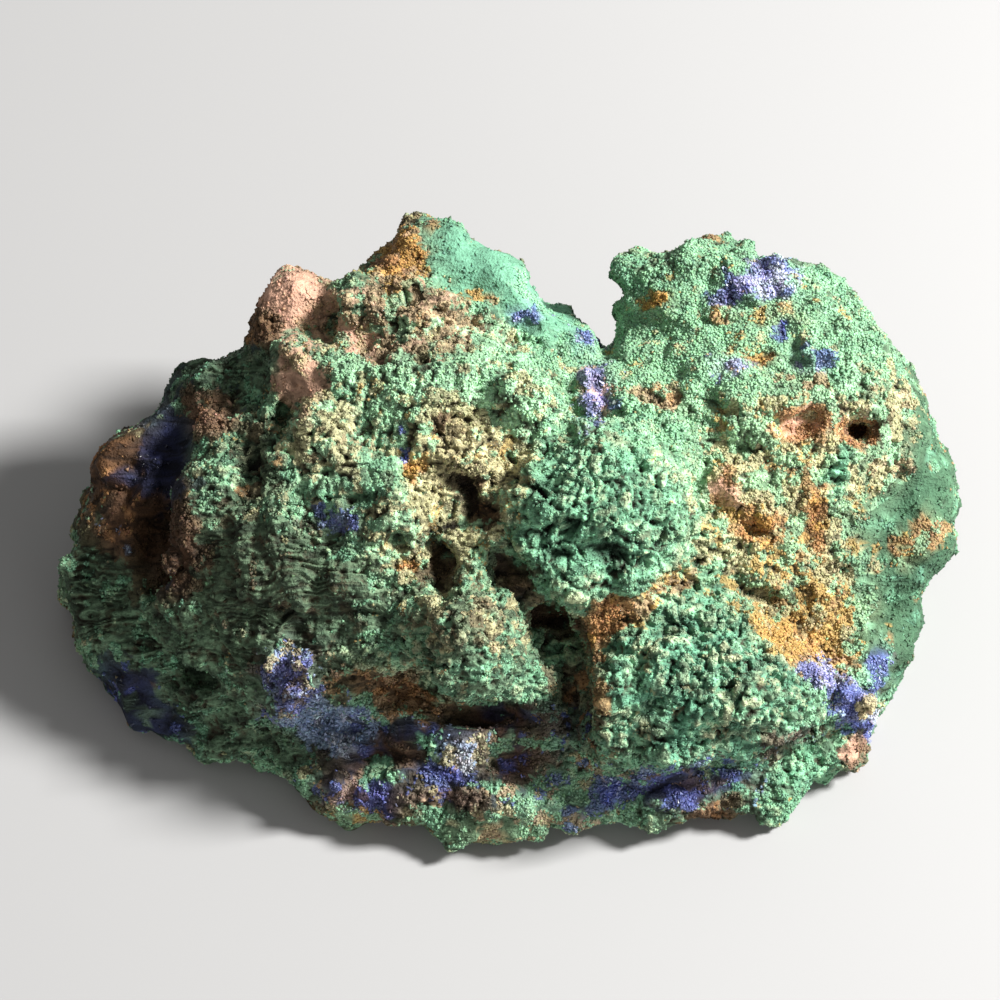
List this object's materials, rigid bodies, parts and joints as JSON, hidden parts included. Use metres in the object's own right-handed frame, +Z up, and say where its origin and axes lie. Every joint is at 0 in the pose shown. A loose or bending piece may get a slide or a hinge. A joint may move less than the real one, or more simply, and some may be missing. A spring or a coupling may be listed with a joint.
{
  "type": "azurite specimen",
  "caption": "Palm-sized piece of rock crusted with green malachite druse, blue azurite patches and rusty limonite, with a notched rim and a flat underside.",
  "frame": {"origin": "middle of the piece's box, on the plane of its flat underside", "axes": "+X to the right as the show face is looked at, along the longest size; +Y to the back, away from the show face; +Z up, out of the underside"},
  "size_m": [0.1142, 0.0784, 0.0424],
  "materials": {
    "mineral_crust": "rough sugary druse, glassy on the blue crystals"
  },
  "bodies": {
    "root": {"azurite_specimen": "mineral_crust"}
  },
  "joints": []
}
